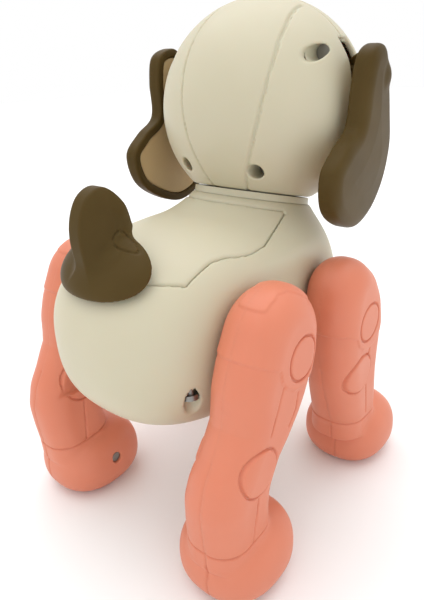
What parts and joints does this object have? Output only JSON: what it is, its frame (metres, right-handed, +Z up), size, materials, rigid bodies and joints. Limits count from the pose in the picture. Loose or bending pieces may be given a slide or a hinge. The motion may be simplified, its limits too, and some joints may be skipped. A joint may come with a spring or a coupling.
{
  "type": "robot dog toy",
  "caption": "Four-legged robot dog toy with a round turning head, drooping swinging ears, wagging tail and geared swinging legs; stands free.",
  "frame": {"origin": "middle of the bounding box at floor level, under the belly", "axes": "+Z up; the dog faces -Y; its left side is +X"},
  "size_m": [0.1268, 0.1535, 0.2],
  "materials": {
    "cream_plastic": "satin, moulded",
    "coral_plastic": "satin, moulded",
    "coral_rubber": "soft matt",
    "smoky_brown_plastic": "soft satin, slightly translucent",
    "tan_lining": "soft satin",
    "black_gloss": "polished",
    "eye_lens": "polished, tinted",
    "screw_steel": "zinc plated",
    "motor_steel": "plain",
    "circuit_board": "solder resist",
    "battery_wrap": "shrink film",
    "speaker_black": "matt",
    "socket_metal": "plated",
    "dark_plastic": "matt",
    "white_nylon": "moulded"
  },
  "bodies": {
    "torso": {"back_cover": "cream_plastic", "battery_pack": "battery_wrap", "belly_shell": "cream_plastic", "body_screws": "screw_steel", "charge_socket": "socket_metal", "front_gearbox_left_half": "white_nylon", "front_gearbox_right_half": "white_nylon", "front_motor": "motor_steel", "main_circuit_board": "circuit_board", "neck_collar": "cream_plastic", "neck_turntable": "white_nylon", "rear_gearbox_left_half": "white_nylon", "rear_gearbox_right_half": "white_nylon", "rear_motor": "motor_steel", "speaker": "speaker_black"},
    "head": {"head_back_shell": "cream_plastic", "head_front_shell": "cream_plastic", "face_visor": "black_gloss", "eye_lenses": "eye_lens", "eye_light_board": "circuit_board", "nose": "black_gloss", "head_screws": "screw_steel", "left_ear_pin": "screw_steel", "right_ear_pin": "screw_steel"},
    "left_ear": {"left_ear_shell": "smoky_brown_plastic", "left_ear_lining": "tan_lining"},
    "right_ear": {"right_ear_shell": "smoky_brown_plastic", "right_ear_lining": "tan_lining"},
    "tail": {"tail_shell": "smoky_brown_plastic", "tail_pin": "screw_steel"},
    "battery_hatch": {"battery_door": "cream_plastic", "battery_door_screw": "screw_steel"},
    "switch_slider": {"power_switch_knob": "dark_plastic"},
    "front_left_leg": {"front_left_leg_outer_shell": "coral_plastic", "front_left_leg_inner_shell": "coral_plastic", "front_left_leg_sole_pad": "coral_rubber", "front_left_leg_screws": "screw_steel", "front_left_hip_shaft": "white_nylon"},
    "front_right_leg": {"front_right_leg_outer_shell": "coral_plastic", "front_right_leg_inner_shell": "coral_plastic", "front_right_leg_sole_pad": "coral_rubber", "front_right_leg_screws": "screw_steel", "front_right_hip_shaft": "white_nylon"},
    "front_lay_gears": {"front_layshaft": "white_nylon"},
    "front_idler": {"front_idler_gear": "white_nylon"},
    "front_pinion": {"front_motor_pinion": "white_nylon"},
    "rear_left_leg": {"rear_left_leg_outer_shell": "coral_plastic", "rear_left_leg_inner_shell": "coral_plastic", "rear_left_leg_sole_pad": "coral_rubber", "rear_left_leg_screws": "screw_steel", "rear_left_hip_shaft": "white_nylon"},
    "rear_right_leg": {"rear_right_leg_outer_shell": "coral_plastic", "rear_right_leg_inner_shell": "coral_plastic", "rear_right_leg_sole_pad": "coral_rubber", "rear_right_leg_screws": "screw_steel", "rear_right_hip_shaft": "white_nylon"},
    "rear_lay_gears": {"rear_layshaft": "white_nylon"},
    "rear_idler": {"rear_idler_gear": "white_nylon"},
    "rear_pinion": {"rear_motor_pinion": "white_nylon"}
  },
  "joints": [
    {"name": "head_turn", "type": "hinge", "parent": "torso", "child": "head", "pos_m": [0, -0.0295, 0.1586], "axis": [0, -0.2504, 0.9681], "range_deg": [-46, 34]},
    {"name": "left_ear_swing", "type": "hinge", "parent": "head", "child": "left_ear", "pos_m": [0.02869, -0.01852, 0.17237], "axis": [0.1012, -0.9949, 0.0013], "range_deg": [0, 30]},
    {"name": "right_ear_swing", "type": "hinge", "parent": "head", "child": "right_ear", "pos_m": [-0.03098, -0.02459, 0.1708], "axis": [-0.1012, 0.9949, -0.0013], "range_deg": [0, 30]},
    {"name": "tail_wag", "type": "hinge", "parent": "torso", "child": "tail", "pos_m": [0, 0.0577, 0.12261], "axis": [0, 0.5225, 0.8526], "range_deg": [-20, 20]},
    {"name": "front_left_hip", "type": "hinge", "parent": "torso", "child": "front_left_leg", "pos_m": [0, -0.0245, 0.094], "axis": [1, 0, 0], "range_deg": [-15, 15]},
    {"name": "front_right_hip", "type": "hinge", "parent": "torso", "child": "front_right_leg", "pos_m": [0, -0.0245, 0.094], "axis": [1, 0, 0], "range_deg": [-15, 15]},
    {"name": "front_lay_spin", "type": "hinge", "parent": "torso", "child": "front_lay_gears", "pos_m": [0, -0.0245, 0.0796], "axis": [1, 0, 0], "range_deg": [-30, 30]},
    {"name": "front_idler_spin", "type": "hinge", "parent": "torso", "child": "front_idler", "pos_m": [0, -0.03223, 0.0838], "axis": [1, 0, 0], "range_deg": [-25, 25]},
    {"name": "front_pinion_spin", "type": "hinge", "parent": "torso", "child": "front_pinion", "pos_m": [0, -0.0167, 0.06846], "axis": [1, 0, 0], "range_deg": [-72, 72]},
    {"name": "rear_left_hip", "type": "hinge", "parent": "torso", "child": "rear_left_leg", "pos_m": [0, 0.0335, 0.094], "axis": [1, 0, 0], "range_deg": [-15, 15]},
    {"name": "rear_right_hip", "type": "hinge", "parent": "torso", "child": "rear_right_leg", "pos_m": [0, 0.0335, 0.094], "axis": [1, 0, 0], "range_deg": [-15, 15]},
    {"name": "rear_lay_spin", "type": "hinge", "parent": "torso", "child": "rear_lay_gears", "pos_m": [0, 0.0335, 0.0796], "axis": [1, 0, 0], "range_deg": [-30, 30]},
    {"name": "rear_idler_spin", "type": "hinge", "parent": "torso", "child": "rear_idler", "pos_m": [0, 0.04123, 0.0838], "axis": [1, 0, 0], "range_deg": [-25, 25]},
    {"name": "rear_pinion_spin", "type": "hinge", "parent": "torso", "child": "rear_pinion", "pos_m": [0, 0.0257, 0.06846], "axis": [1, 0, 0], "range_deg": [-72, 72]},
    {"name": "battery_door_off", "type": "slide", "parent": "torso", "child": "battery_hatch", "axis": [0, 0, -1], "range_m": [0, 0.012]},
    {"name": "power_switch_slide", "type": "slide", "parent": "torso", "child": "switch_slider", "axis": [0, 1, 0], "range_m": [0, 0.003]}
  ],
  "couplings": [
    {"joint": "front_right_hip", "follows": "front_left_hip", "ratio": -1},
    {"joint": "front_lay_spin", "follows": "front_left_hip", "ratio": -2},
    {"joint": "front_idler_spin", "follows": "front_left_hip", "ratio": 1.6667},
    {"joint": "front_pinion_spin", "follows": "front_left_hip", "ratio": 4.8},
    {"joint": "rear_right_hip", "follows": "rear_left_hip", "ratio": -1},
    {"joint": "rear_lay_spin", "follows": "rear_left_hip", "ratio": -2},
    {"joint": "rear_idler_spin", "follows": "rear_left_hip", "ratio": 1.6667},
    {"joint": "rear_pinion_spin", "follows": "rear_left_hip", "ratio": 4.8}
  ]
}
